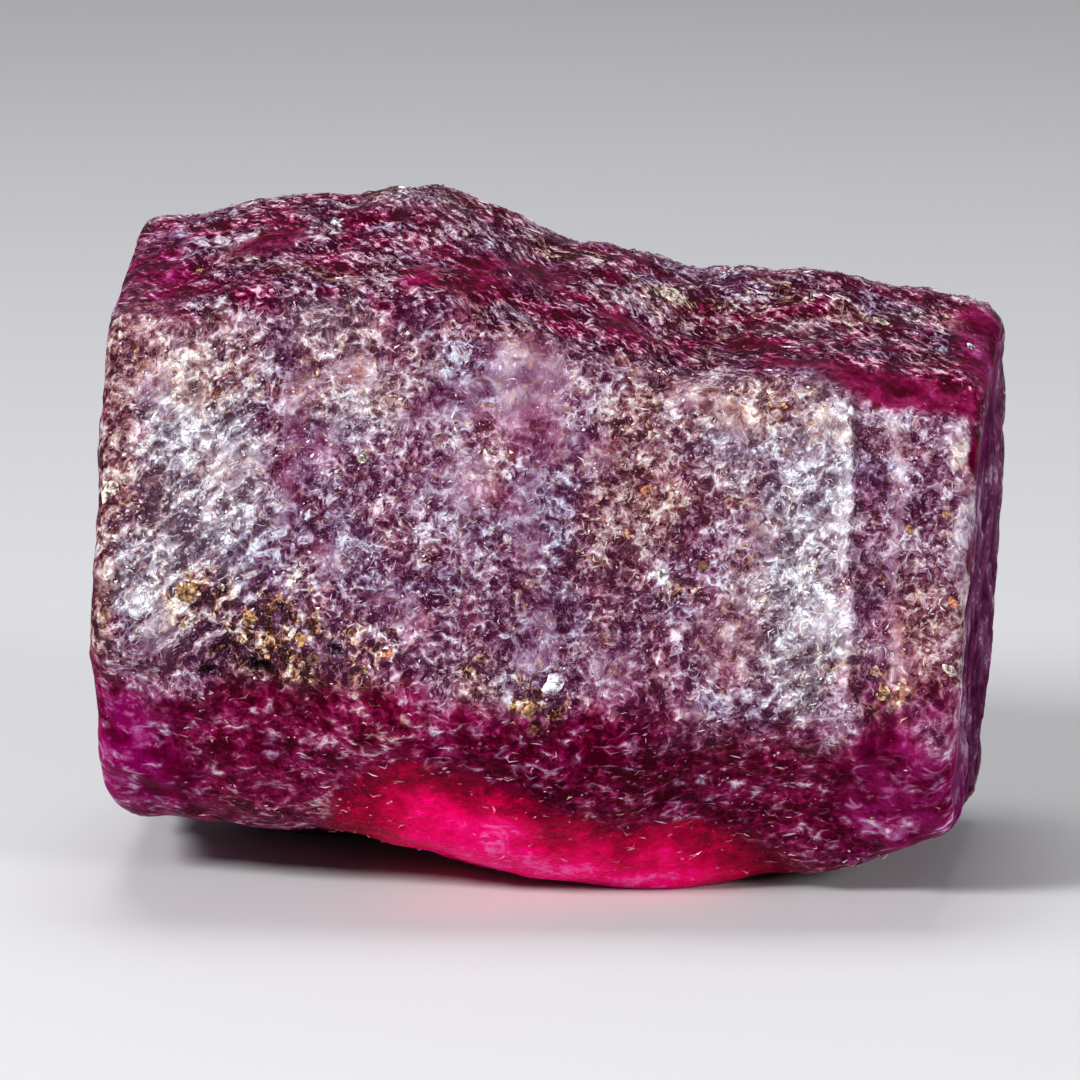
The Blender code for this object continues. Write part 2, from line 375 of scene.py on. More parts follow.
# Low, stepped triangles on the ends: (side of the end, place to the front, height, half size).
TRIANGLES = (
    (1, 1.6, 1.0, 2.6),
    (1, -2.6, -1.2, 2.0),
    (1, -1.6, 3.4, 1.4),
    (1, 3.6, -2.8, 1.2),
    (-1, -0.8, 1.4, 2.8),
    (-1, 2.8, -1.6, 1.7),
    (-1, -2.4, -2.6, 1.5),
    (-1, 2.2, 3.6, 1.1),
)
TRIANGLE_SIDES = (90, 210, 330)  # the directions that their sides face
TERRACES = 4
TERRACE_HEIGHT = 0.07
# Open pits, painted nearly black as shade: (station, direction, radius, depth).
CAVITIES = (
    (-7.6, -13.3, 0.26, 0.30),
    (-6.3, -11.1, 0.30, 0.32),
    (-4.5, -6.3, 0.24, 0.26),
    (2.4, 49, 0.2, 0.2),
    (-3.0, 174, 0.35, 0.3),
    (5.6, 190, 0.3, 0.3),
)


def reach_of(patch, station, direction):
    """The distance of each point from a patch's middle, 1 at its rim."""
    at, towards, half_length, half_width, slant = patch
    along, across = offsets(station, direction, at, towards)
    turn = math.radians(slant)
    u = (along * math.cos(turn) + across * math.sin(turn)) / half_length
    v = (across * math.cos(turn) - along * math.sin(turn)) / half_width
    return np.hypot(u, v)


def patches(places, station, direction, ragged):
    """The strongest of the soft patches at each point. Ragged is noise that makes their rims uneven."""
    strongest = np.zeros(len(station))
    for *patch, strength in places:
        reach = reach_of(patch, station, direction) + 0.45 * ragged
        strongest = np.maximum(strongest, strength * (1 - rising(reach, 0.6, 0.8)))
    return strongest


def end_reach(station, direction):
    """How far from the c axis the solid's nearer end reaches in the direction of each point."""
    corners, _ = surface(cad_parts[NODE].data)
    at, towards = crystal_places(corners)
    off_axis = distance_from_axis(corners)
    reach = np.zeros(len(station))
    for side in (-1, 1):
        near_end = side * at > END_CORNERS
        in_sectors = (np.abs(angle_between(towards, middle)) < SECTOR_REACH for middle in SECTORS)
        radii = [off_axis[near_end & inside].max() for inside in in_sectors]
        here = side * station > 0
        reach[here] = np.interp(direction[here], SECTORS, radii, period=360)
    return reach


def band_station(points, station):
    """The station of each point, shifted so that the growth bands waver, and stand upright."""
    return station + 0.12 * (points[:, 2] - FRONT_MIDDLE_HEIGHT) + rippled(points, "waver")


def faces(station, direction, wander):
    """How far each point lies on the front, below it, on the top, underneath and on the back."""
    lower_edge = np.interp(station, *np.array(LOWER_EDGE).T)
    front = between(direction, LOWER_CREST - 2, UPPER_CREST - 4, 8)
    below = between(direction, BELOW_LIMIT, lower_edge + 0.8 * wander, 10)
    top = between(direction, UPPER_CREST + 0.6 * wander, BACK_CREST, 8)
    under = around(direction, UNDERSIDE, UNDERSIDE_REACH, 12)
    back = around(direction, BACK, BACK_REACH, 16)
    return front, below, top, under, back


def end_faces(points, normals, station, direction, ragged):
    """How far each point lies on an end, and how many millimetres inside the end's rim."""
    facing = rising(np.abs(normals @ C_AXIS), 0.84, 0.14)
    near_end = rising(np.abs(station), END_START, 0.3)
    inside = END_RIM * end_reach(station, direction) - distance_from_axis(points)
    return facing * near_end * rising(inside + 0.5 * ragged, 0, 0.9), inside


def glowing(station, direction, wander, ragged):
    """The painted glow of light shining through the clear underside, hot pink, from 0 outside it to 1."""
    stations, starts, strengths = np.array(GLOW).T
    past_start = np.interp(station, stations, starts) - direction + 5 * ragged
    astray = station + 0.2 * wander * rising(-direction, 55, 20)
    glow = np.clip(past_start / GLOW_SPREAD, 0, 1) * np.interp(astray, stations, strengths)
    return glow * rising(direction + wander, GLOW_END, 60)


def parts_of_skin(points, normals):
    """How much of each kind of stone, and of the painted glow and sheen, there is at each point, from 0
    to 1, and the growth bands' light with its painted highlights along the ledges.
    """
    station, direction = crystal_places(points)
    wander = rippled(points, "wander")
    ragged = rippled(points, "ragged")

    def patched(places):
        return patches(places, station, direction, ragged)

    front, below, top, under, back = faces(station, direction, wander)
    end, inside_end = end_faces(points, normals, station, direction, ragged)
    banded = band_station(points, station)
    stations, lights, smoothness = np.array(BANDS_AND_LEDGE_HIGHLIGHTS).T
    clear = np.maximum.reduce((patched(CLEAR_PATCHES), end, front * rising(banded, RIGHT_RIM, 0.1)))
    milky = 0.7 * front * rising(rippled(points, "milky"), 0.22, 0.2)
    smooth_bands = front * np.interp(banded, stations, smoothness)
    haze = np.maximum.reduce((patched(HAZE_PATCHES), milky, smooth_bands))
    rim = rising(np.abs(normals @ C_AXIS), 0.45, 0.2) * (np.abs(station) > RIM_START)
    return {
        "below": below,
        "top": top,
        "under": under,
        "back": back * rising(rippled(points, "worn"), -0.05, 0.5),
        "end": end,
        "rim": rim,
        "clear": clear,
        "haze": haze * (1 - clear),
        "sheen": patched(SHEEN_PATCHES) * (1 - clear),
        "slant": patched(SLANT_PATCHES),
        "dark": patched(DARK_PATCHES),
        "bright": patched(BRIGHT_PATCHES) * (1 - end * rising(inside_end + 0.5 * ragged, 0.6, 2.4)),
        "stain": patched(STAIN_PATCHES) * (0.15 + 0.85 * rising(rippled(points, "spots"), -0.12, 0.25)),
        "tan": np.clip(patched(TAN_PATCHES) + 0.5 * rising(rippled(points, "tan"), 0.12, 0.3), 0, 1),
        "glow": glowing(station, direction, wander, ragged) * (1 - end),
        # The bands' light paints highlights where the ledges' ridges catch the light.
        "band_tone_and_highlights": front * np.interp(banded, stations, lights),
    }


def zones(points, normals):
    """What the shaders and the flakes need to know of each point of the skin, by name. Most run from 0
    to 1. "bias" is how bright the stone is painted, as a place on its colour ramp, painted sheen,
    highlights and shade included."""
    part = parts_of_skin(points, normals)
    below, under, top, back = part["below"], part["under"], part["top"], part["back"]
    clear, sheen, haze, glow = part["clear"], part["sheen"], part["haze"], part["glow"]
    uneven = rippled(points, "uneven")
    mottled = np.clip(0.55 + 1.5 * rippled(points, "clumps"), 0.05, 1)
    frost = np.clip(0.75 + 0.5 * uneven, 0, 1) * (1 - 0.75 * below) * (1 - 0.9 * under)
    frost *= 1 - np.maximum(top, 0.8 * back) * (0.2 + 0.7 * mottled)
    frost *= (1 - 0.95 * clear) * (1 - 0.9 * glow) * (1 - 0.7 * haze)
    polish = 0.3 * rising(rippled(points, "polish"), 0.2, 0.1)
    smooth = (clear, 0.95 * below, 0.9 * under, mottled * top, 0.75 * mottled * back, polish)
    violet = 0.9 * rising(rippled(points, "violet"), -0.14, 0.4)
    violet *= (1 - part["tan"]) * (1 - 0.8 * sheen) * (1 - 0.6 * haze)
    light = BASE_LIGHT + part["band_tone_and_highlights"] + 0.1 * uneven + 0.28 * rippled(points, "blotches")
    # The sheen patches are painted lighter, as the lights' sheen on the frost.
    light += 0.12 * sheen + 0.1 * part["bright"] + 0.04 * haze - 0.22 * part["dark"] - 0.1 * clear
    # The top and the faces below and underneath are painted darker, as shade on faces turned away from
    # the front lights; the worn back is darker too.
    light -= 0.15 * top + 0.09 * (back + below + under)
    deep = np.maximum.reduce((clear, below, under, 0.95 * top, 0.5 * back, glow**0.5))
    calm = np.maximum.reduce((clear, haze, 0.8 * np.minimum(2 * glow, 1), 0.6 * below, 0.6 * under))
    return {
        "bare": np.maximum(0.8 * clear, part["rim"]),
        "frost": np.maximum(frost, sheen),
        "sheen": sheen,
        "slant": part["slant"],
        "clear": np.maximum.reduce(smooth) * (1 - sheen) * (1 - 0.8 * part["stain"]),
        "deep": deep * (1 - 0.8 * sheen),
        "calm": calm,
        "strokes": np.maximum(below, under) * (1 - 0.5 * glow) * (1 - 0.35 * clear) * (1 - part["end"]),
        "warm": 0.55 * part["tan"] * (1 - clear),
        "stain": part["stain"],
        "bright": part["bright"],
        "bias": light,
        "gloss": clear,
        "violet": violet,
        "glow": glow,
        "top": top * (1 - clear),
        "end": part["end"],
    }


# --- The crystal's skin ---
STRIA_LEAN = math.radians(-55)  # of the needles on the top face, from the c axis towards the front
STROKE_LEAN = math.radians(10)  # of the strokes below the front face, from the c axis upwards
SLANT = math.radians(48)  # of the slanting etch marks, from the c axis upwards
LEDGES = ((7.2, 0.12), (8.5, 0.08), (10.0, 0.10))  # (station, height) of growth steps on the front
LEDGE_RISE, LEDGE_DROP = 0.9, 0.2  # how long their gentle and their steep sides are
SLANT_RELIEF, ETCH_RELIEF, STRIA_RELIEF = 0.10, 0.055, 0.09
RESTING_DEPTH = 0.3  # above the floor, where the relief fades out
BLACK_DEPTH = 0.15  # the depth at which an open pit is painted black, as shade


def remeshed_solid():
    """A copy of the solid with an even, fine mesh and no facets."""
    skin = add_object("ruby_crystal_skin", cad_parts[NODE].data.copy())
    remesh = skin.modifiers.new("even_mesh", "REMESH")
    remesh.mode = "VOXEL"
    remesh.voxel_size = VOXEL * MM
    smooth = skin.modifiers.new("no_facets", "SMOOTH")
    smooth.factor = 0.5
    smooth.iterations = SMOOTHING_ROUNDS
    bpy.context.view_layer.update()
    depsgraph = bpy.context.evaluated_depsgraph_get()
    fine = bpy.data.meshes.new_from_object(skin.evaluated_get(depsgraph))
    skin.modifiers.clear()
    skin.data = fine
    return skin


def leaning_places(points, lean):
    """The places of the points on the skin laid flat, along and across a direction that leans by an
    angle from the c axis."""
    station, direction = crystal_places(points)
    up = direction * MM_PER_DEGREE
    along = station * math.cos(lean) + up * math.sin(lean)
    across = up * math.cos(lean) - station * math.sin(lean)
    return np.column_stack((along, across, 0 * station))


def growth_steps(points):
    """Ledges square to the c axis on the front face, each with an uneven, steep right side."""
    station, direction = crystal_places(points)
    station = band_station(points, station)
    height = np.zeros(len(points))
    for at, size in LEDGES:
        height += size * (rising(station, at - LEDGE_RISE, LEDGE_RISE) - rising(station, at, LEDGE_DROP))
    return height * between(direction, LOWER_CREST, UPPER_CREST - 6, 10)


def cavity_depth(points):
    """How deep the open pits go at each point."""
    station, direction = crystal_places(points)
    uneven = rippled(points, "pits")
    depth = np.zeros(len(points))
    for at, towards, radius, size in CAVITIES:
        along, across = offsets(station, direction, at, towards)
        reach = np.hypot(along, 1.5 * across) / radius + uneven
        depth = np.maximum(depth, size * (1 - rising(reach, 0.3, 1)))
    return depth


def growth_terraces(points):
    """The stepped triangles on the ends: the height, and 1 along the edges of the steps, which the shader
    paints lighter, partly as etched edges and partly as a painted highlight.
    """
    station, direction = crystal_places(points)
    off_axis = distance_from_axis(points)
    to_front = off_axis * np.cos(np.radians(direction)) + rippled(points, "terrace_bend")
    up = off_axis * np.sin(np.radians(direction)) + rippled(points, "terrace_bend", 1)
    level = np.zeros(len(points))
    for side, at, high, size in TRIANGLES:
        reach = np.full(len(points), -np.inf)
        for turn in np.radians(TRIANGLE_SIDES):
            reach = np.maximum(reach, (to_front - at) * math.cos(turn) + (up - high) * math.sin(turn))
        steps = np.clip(TERRACES * (1 - reach / size), 0, TERRACES)
        level = np.maximum(level, steps * (side * station > 0))
    rest = level % 1
    height = TERRACE_HEIGHT * (np.floor(level) + rising(rest, 0, 0.25))
    return height, between(rest, 0.15, 0.3, 0.15) * (level > 0)


def etching(points):
    """Narrow, winding crests over hollows about half a millimetre wide, from -1 to 1."""
    return np.clip(1 - folded(points + shifts(points, "etch_bend"), "etching"), -1, 1)


def relief(points, zone, etched):
    """How far the skin stands out at each point, in millimetres."""
    striae = rippled(leaning_places(points, STRIA_LEAN), "striae")
    slant_ridges = 1.5 - folded(leaning_places(points, SLANT), "slant_ridges")
    height = rippled(points, "swells") + growth_steps(points)
    height += SLANT_RELIEF * slant_ridges * zone["slant"]
    height += ETCH_RELIEF * etched * (0.15 + 0.85 * zone["frost"])
    height += STRIA_RELIEF * striae * zone["top"] * (1 - zone["clear"])
    station, _ = crystal_places(points)
    height *= (1 - 0.8 * zone["end"]) * (1 - 0.75 * rising(np.abs(station), 9.4, 1.2))
    terraces, _ = growth_terraces(points)
    height += (terraces - 0.12 + rippled(points, "end_swells")) * zone["end"]
    return height - cavity_depth(points)


def skin_axes(normals, angle):
    """A unit vector in the skin at this angle from the c axis, and the one square to it."""
    along = unit(C_AXIS - normals * (normals @ C_AXIS)[:, None])
    over = np.cross(normals, along)
    angle = angle[:, None]
    return np.cos(angle) * along + np.sin(angle) * over, np.cos(angle) * over - np.sin(angle) * along


def store(mesh, name, values):
    """Keeps a number or a vector for each vertex."""
    kind, key = ("FLOAT", "value") if values.ndim == 1 else ("FLOAT_VECTOR", "vector")
    mesh.attributes.new(name, kind, "POINT").data.foreach_set(key, values.ravel())


def dressed_skin():
    """The skin with its relief, and with its zones stored on the vertices for its shader."""
    skin = remeshed_solid()
    mesh = skin.data
    points, normals = surface(mesh)
    zone = zones(points, normals)
    etched = etching(points)
    height = relief(points, zone, etched) * rising(points[:, 2], 0, RESTING_DEPTH)
    # The etched hollows are painted darker, as shade.
    zone["hollow"] = rising(-etched, 0.05, 0.6)
    zone["broken"] = rising(rippled(points, "broken"), 0.06, 0.16)
    zone["edge"] = growth_terraces(points)[1] * zone["end"]
    zone["end_shade"] = 0.42 + rippled(points, "end_shade")
    points = points + normals * height[:, None]
    points[:, 2] = np.maximum(points[:, 2], 0)
    mesh.vertices.foreach_set("co", (points * MM).ravel())
    mesh.update()
    # How dark each pit is painted, as shade.
    zone["pit_shade"] = np.clip(cavity_depth(points) / BLACK_DEPTH, 0, 1)
    for name, values in zone.items():
        store(mesh, name, values)
    store(mesh, "bend", shifts(points, "shader_bend") * MM)
    mesh.shade_smooth()
    return skin


# --- Colours ---
# Each is a ramp from the darkest hollow, in painted shade, at 0 to the brightest glint, a painted
# highlight, at 1.
ETCHED = (
    (0.00, (0.032, 0.002, 0.016)),
    (0.25, (0.092, 0.014, 0.052)),
    (0.50, (0.215, 0.105, 0.172)),
    (0.75, (0.415, 0.305, 0.390)),
    (1.00, (0.690, 0.610, 0.680)),
)
# SILVER colours the sheen patches: frost with a painted sheen of the lights.
SILVER = (
    (0.00, (0.075, 0.042, 0.066)),
    (0.25, (0.155, 0.108, 0.145)),
    (0.50, (0.290, 0.230, 0.285)),
    (0.75, (0.480, 0.430, 0.480)),
    (1.00, (0.820, 0.810, 0.830)),
)
WARM = (
    (0.00, (0.036, 0.004, 0.005)),
    (0.25, (0.120, 0.030, 0.022)),
    (0.50, (0.290, 0.140, 0.110)),
    (0.75, (0.480, 0.325, 0.260)),
    (1.00, (0.720, 0.610, 0.530)),
)
GOLDEN = (
    (0.00, (0.014, 0.003, 0.002)),
    (0.25, (0.100, 0.024, 0.010)),
    (0.50, (0.270, 0.110, 0.055)),
    (0.75, (0.500, 0.290, 0.160)),
    (1.00, (0.800, 0.720, 0.620)),
)
SMOOTH = (
    (0.00, (0.038, 0.0001, 0.0045)),
    (0.25, (0.104, 0.0002, 0.018)),
    (0.50, (0.215, 0.0008, 0.062)),
    (0.72, (0.370, 0.0700, 0.180)),
    (1.00, (0.720, 0.4600, 0.560)),
)
# The painted hot pink glow of light shining through the underside.
GLOWING = (
    (0.00, (0.130, 0.0003, 0.018)),
    (0.30, (0.350, 0.0004, 0.032)),
    (0.60, (0.730, 0.0006, 0.085)),
    (0.82, (1.000, 0.0020, 0.200)),
    (1.00, (1.000, 0.1400, 0.480)),
)
END = (
    (0.00, (0.024, 0.0020, 0.013)),
    (0.40, (0.066, 0.0100, 0.042)),
    (0.75, (0.125, 0.0400, 0.092)),
    (1.00, (0.300, 0.1900, 0.270)),
)
END_MAGENTA = (0.150, 0.004, 0.080)
# The near-black painted shade of the open pits.
PIT_SHADE = (0.006, 0.002, 0.003)
BLUISH = (0.76, 0.91, 1.02)
PURPLISH = (1.0, 1.0, 1.3)
FROSTED_GLOSS = (1.0, 0.60, 0.84)  # the tint of reflections on the etched skin
DEEP_GLOSS = (1.0, 0.05, 0.30)  # on the smooth, deep red stone
FLAKE_GLOSS = (1.0, 0.8, 0.92)  # and on the flakes


def ramp_colours(ramp, values):
    """The colour of a ramp at each value."""
    places = [place for place, _ in ramp]
    return np.column_stack([np.interp(values, places, [rgb[i] for _, rgb in ramp]) for i in range(3)])


# --- Materials ---
MIDDLE_RANGE = (0.38, 0.62)  # where most values of a noise texture lie
RUBY_IOR = 1.5
SKIN_BUMP, GRAIN_BUMP = 0.10, 0.05  # how deep the finest marks look
CRUMB, FINE_MARK, LONG_MARK, SLANT_MARK = 0.16, 0.22, 0.18, 0.30  # sizes of the skin's marks
WIDE_CURL, NARROW_CURL = (0.46, 0.08), (0.25, 0.07)  # (size, width of the crest)
SCRATCH, GRAIN_CRACK, GRAIN_SHADE, FLOOR_SHADE = 0.42, 0.2, 0.15, 60  # and of the other patterns
TOP_LOOKS, FRONT_LOOKS, LOWER_LOOKS = 78, 20, -35  # the directions that the marks' faces look in


def colour(rgb):
    """The colour with full alpha."""
    return (*rgb, 1.0)


def feed(tree, fed, inputs):
    """Feeds a node's inputs, each given by name or number, with a value, an output or a named zone."""
    for name, value in inputs.items():
        socket = fed.inputs[name]
        if isinstance(value, str):
            value = attribute(tree, value, "Fac")
        if isinstance(value, bpy.types.NodeSocket):
            tree.links.new(value, socket)
        else:
            socket.default_value = colour(value) if socket.type == "RGBA" else value


def node(tree, kind, inputs, **settings):
    """Adds a shader node of a kind, with these inputs and settings."""
    made = tree.nodes.new("ShaderNode" + kind)
    for name, value in settings.items():
        setattr(made, name, value)
    feed(tree, made, inputs)
    return made


def attribute(tree, name, output):
    """What the mesh keeps under this name, as a Color, Vector or Fac output."""
    return node(tree, "Attribute", {}, attribute_name=name).outputs[output]


def object_places(tree):
    """The place of each point on its object."""
    return node(tree, "TexCoord", {}).outputs["Object"]


def blend(tree, factor, under, over, how="MIX"):
    """Mixes two colours by a factor from 0 to 1."""
    inputs = {0: factor, 6: under, 7: over}
    return node(tree, "Mix", inputs, data_type="RGBA", blend_type=how).outputs[2]


def maths(tree, operation, first, second=0.0, clamp=False):
    """One step of arithmetic."""
    inputs = {0: first, 1: second}
    return node(tree, "Math", inputs, operation=operation, use_clamp=clamp).outputs[0]


def product(tree, first, *others):
    """All of them multiplied."""
    for other in others:
        first = maths(tree, "MULTIPLY", first, other)
    return first


def weighted(tree, start, *terms):
    """The start value plus each (output or zone, weight)."""
    for source, weight in terms:
        inputs = {0: source, 1: weight, 2: start}
        start = node(tree, "Math", inputs, operation="MULTIPLY_ADD").outputs[0]
    return start


def spread(tree, value, low, high, out_low=0.0, out_high=1.0):
    """Maps low..high to out_low..out_high, clamped."""
    inputs = {0: value, 1: low, 2: high, 3: out_low, 4: out_high}
    return node(tree, "MapRange", inputs).outputs[0]


def by_zone(tree, zone, outside, inside):
    """One value outside the zone and another well inside it."""
    return spread(tree, zone, 0.0, 1.0, outside, inside)


def cloud(tree, where, size, detail=3.0, roughness=0.6):
    """Noise from 0 to 1 with features of a size in millimetres."""
    inputs = {"Vector": where, "Scale": 1 / (size * MM), "Detail": detail, "Roughness": roughness}
    return node(tree, "TexNoise", inputs).outputs["Fac"]


def drawn_out(tree, where, lean, towards, stretch):
    """The place, squeezed along the direction in the skin that leans by an angle from the c axis, on
    the face that looks in one direction. A pattern laid over it is drawn out along that direction."""
    out = math.radians(towards)
    normal = np.array((0, -math.cos(out), math.sin(out)))
    long_axis, short_axis = (axes[0] for axes in skin_axes(normal[None], np.array((lean,))))
    turn = Matrix((long_axis, short_axis, np.cross(long_axis, short_axis))).transposed().to_euler()
    inputs = {"Vector": where, "Rotation": turn, "Scale": (stretch, 1, 1)}
    return node(tree, "Mapping", inputs, vector_type="TEXTURE").outputs[0]


def crumbs(tree, where, size):
    """A random colour for each cell of a size in millimetres."""
    inputs = {"Vector": where, "Scale": 1 / (size * MM)}
    return node(tree, "TexVoronoi", inputs, distance="MANHATTAN").outputs["Color"]


def bump(tree, height, depth):
    """Normals as if the surface rose by a depth in millimetres where the height is 1."""
    return node(tree, "Bump", {"Height": height, "Distance": depth * MM}).outputs[0]


def ramp(tree, value, stops):
    """A colour ramp from one of the tables above."""
    made = node(tree, "ValToRGB", {0: value})
    elements = made.color_ramp.elements
    for _ in stops[2:]:
        elements.new(0.5)
    for element, (place, rgb) in zip(elements, stops):
        element.position = place
        element.color = colour(rgb)
    return made.outputs[0]


def new_material(name):
    """A material with a bare Principled shader, and its tree."""
    material = bpy.data.materials.new(name)
    material.use_nodes = True
    return material, material.node_tree


def finished(material, inputs):
    """The material, once its shader has these inputs."""
    tree = material.node_tree
    feed(tree, tree.nodes["Principled BSDF"], inputs)
    return material


def curls(tree, where, size, width=0.1):
    """Thin, winding crests of a size in millimetres, 1 along their tops and 0 between them."""
    middle = maths(tree, "ABSOLUTE", maths(tree, "SUBTRACT", cloud(tree, where, size, 1.0), 0.5))
    return spread(tree, middle, 0.0, width, 1.0, 0.0)


def strokes(tree, bent):
    """Pale, broken scratches over the smooth stone: 1 along them and 0 between them."""
    line = curls(tree, drawn_out(tree, bent, STROKE_LEAN, LOWER_LOOKS, 1.7), SCRATCH)
    return product(tree, line, "broken", "strokes")


def crisp(tree, noise_output):
    """Noise with its middle range drawn out to -1 to 1."""
    return spread(tree, noise_output, *MIDDLE_RANGE, -1.0, 1.0)


def etch_marks(tree, bent, cell, scratches):
    """How far each point stands out of the etched skin, about 0 on the whole. It also paints the colour
    lighter on the crests, as glints, and darker between them, as shade.
    """
    crumb = node(tree, "SeparateColor", {0: cell}).outputs[0]
    fine = crisp(tree, cloud(tree, bent, FINE_MARK, 2.0))
    long_marks = crisp(tree, cloud(tree, drawn_out(tree, bent, STRIA_LEAN, TOP_LOOKS, 6), LONG_MARK, 1.0))
    slant_marks = crisp(tree, cloud(tree, drawn_out(tree, bent, SLANT, FRONT_LOOKS, 5), SLANT_MARK, 1.0))
    marks = weighted(
        tree,
        -0.43,
        (crumb, 0.46),
        (fine, 0.22),
        (product(tree, long_marks, "top"), 0.38),
        (product(tree, slant_marks, "slant"), 0.37),
        (curls(tree, bent, *WIDE_CURL), 0.38),
        (curls(tree, bent, *NARROW_CURL), 0.32),
    )
    marks = product(tree, marks, by_zone(tree, "calm", 1.0, 0.2))
    return weighted(tree, marks, (scratches, 0.45))


def end_colour(tree, marks):
    """The dark violet of the ends, magenta low at the front."""
    # The steps' edges are painted lighter: partly etched edges, partly a painted highlight.
    shade = weighted(tree, "end_shade", (marks, 2.0), ("edge", 0.3))
    magenta = product(tree, "bright", 0.55)
    return blend(tree, magenta, ramp(tree, shade, END), END_MAGENTA)


def stone_colour(tree, light, cell, marks, scratches):
    """The stone's colour, from how bright it is and which zones it lies in, with its painted sheen,
    shade, glints and glow.
    """
    chance = node(tree, "SeparateColor", {0: cell}).outputs[1]
    rusty = maths(tree, "ADD", "warm", spread(tree, chance, 0.84, 0.9, 0.0, 0.5), True)
    # The sheen patches take the silvery ramp of their painted sheen.
    body = blend(tree, "sheen", ramp(tree, light, ETCHED), ramp(tree, light, SILVER))
    body = blend(tree, rusty, body, ramp(tree, light, WARM))
    body = blend(tree, "violet", body, BLUISH, "MULTIPLY")
    clear = product(tree, "clear", weighted(tree, 1.0, (scratches, -0.7)))
    smooth = blend(tree, "bright", ramp(tree, light, SMOOTH), PURPLISH, "MULTIPLY")
    body = blend(tree, clear, body, smooth)
    harsh = weighted(tree, -0.42, (light, 1.65))
    body = blend(tree, "stain", body, ramp(tree, harsh, GOLDEN))
    # Underneath, the glow ramp paints the hot pink of light shining through the stone.
    hot = weighted(tree, -0.25, ("glow", 0.86), (light, 0.5))
    body = blend(tree, spread(tree, "glow", 0.0, 0.15), body, ramp(tree, hot, GLOWING))
    body = blend(tree, "end", body, end_colour(tree, marks))
    # Open pits are painted near black, as shade.
    return blend(tree, "pit_shade", body, PIT_SHADE)


def mirror_level(tree):
    """How strongly the skin mirrors: hardly where deep colour shows through, or on the ends and rims."""
    level = by_zone(tree, "deep", 0.22, 0.015)
    off_rims = spread(tree, "bare", 0.3, 1.0, 1.0, 0.15)
    off_ends = by_zone(tree, "end", 1.0, 0.1)
    return product(tree, level, off_rims, off_ends)


def ruby_skin():
    """Translucent purplish red stone: glossy where it is smooth, glittering and whitish where etched,
    with painted glints, sheen and shade, and a painted glow underneath.
    """
    material, tree = new_material("ruby_skin")
    shifted = {0: object_places(tree), 1: attribute(tree, "bend", "Vector")}
    bent = node(tree, "VectorMath", shifted, operation="ADD").outputs[0]
    cell = crumbs(tree, bent, CRUMB)
    scratches = strokes(tree, bent)
    marks = etch_marks(tree, bent, cell, scratches)
    # The marks that raise the crests and crumbs also paint them lighter, as glints, and the hollows
    # darker, as shade, over the etched skin's own mottling.
    light = weighted(tree, marks, ("bias", 1.0), ("hollow", -0.15))
    height = product(tree, marks, by_zone(tree, "gloss", 1.0, 0.3))
    rough = by_zone(tree, "clear", 0.22, 0.3)
    depth = maths(tree, "MAXIMUM", "gloss", "glow")
    inputs = {
        "Base Color": stone_colour(tree, light, cell, marks, scratches),
        "Normal": bump(tree, height, SKIN_BUMP),
        "Roughness": weighted(tree, rough, ("end", 0.2)),
        "Subsurface Weight": spread(tree, depth, 0.3, 0.9, 0.0, 0.4),
        "Specular IOR Level": mirror_level(tree),
        "Specular Tint": blend(tree, "deep", FROSTED_GLOSS, DEEP_GLOSS),
        "IOR": RUBY_IOR,
        "Subsurface Radius": (1.0, 0.10, 0.30),
        "Subsurface Scale": 1.0 * MM,
    }
    return finished(material, inputs)


def grain_material():
    """Mineral grains, each with a tint of its own, darker in its cracks."""
    material, tree = new_material("mineral_grains")
    where = object_places(tree)
    shade = spread(tree, cloud(tree, where, GRAIN_SHADE, 2.0), *MIDDLE_RANGE, 0.1, 1.5)
    shade = node(tree, "CombineColor", {0: shade, 1: shade, 2: shade}).outputs[0]
    inputs = {
        "Base Color": blend(tree, 1.0, attribute(tree, "tint", "Color"), shade, "MULTIPLY"),
        "Normal": bump(tree, curls(tree, where, GRAIN_CRACK), GRAIN_BUMP),
        "Roughness": 0.25,
    }
    return finished(material, inputs)


def flake_material():
    """Etched needles and flakes, each with a tint of its own."""
    material, tree = new_material("etched_flakes")
    inputs = {
        "Base Color": attribute(tree, "tint", "Color"),
        "Roughness": 0.2,
        "IOR": RUBY_IOR,
        "Specular IOR Level": 0.4,
        "Specular Tint": FLAKE_GLOSS,
    }
    return finished(material, inputs)


# --- Needles, flakes and grains ---
NEEDLE_CORNERS = np.array(((-0.5, 0, 0), (0.5, 0, 0), (0, -0.5, -0.4), (0, 0.5, -0.4), (0, 0, 0.6)))
NEEDLE_FACES = np.array(((0, 2, 4), (0, 4, 3), (0, 3, 2), (1, 4, 2), (1, 3, 4), (1, 2, 3)))
CHIP_CORNERS = np.array(
    ((0.5, 0, 0.1), (0, 0.5, 0.1), (-0.5, 0, 0.1), (0, -0.5, 0.1), (0, 0, 0.45), (0, 0, -0.6))
)
CHIP_FACES = np.array(
    ((0, 1, 4), (1, 2, 4), (2, 3, 4), (3, 0, 4), (1, 0, 5), (2, 1, 5), (3, 2, 5), (0, 3, 5))
)
NEEDLES_TRIED, CHIPS_TRIED, GRAINS_TRIED = 44000, 33000, 60000  # of which the fitting ones are kept
NEEDLE_LENGTHS, NEEDLE_WIDTHS = (0.12, 0.36), (0.03, 0.055)
CHIP_LENGTHS, CHIP_HEIGHTS = (0.06, 0.18), (0.04, 0.07)
DEEPEST_FLAKE, HIGHEST_NEEDLE = -0.025, 0.005  # where they lie, from the skin outwards
LOWEST_FLAKE, LOWEST_GRAIN = 0.25, 0.4  # above the floor
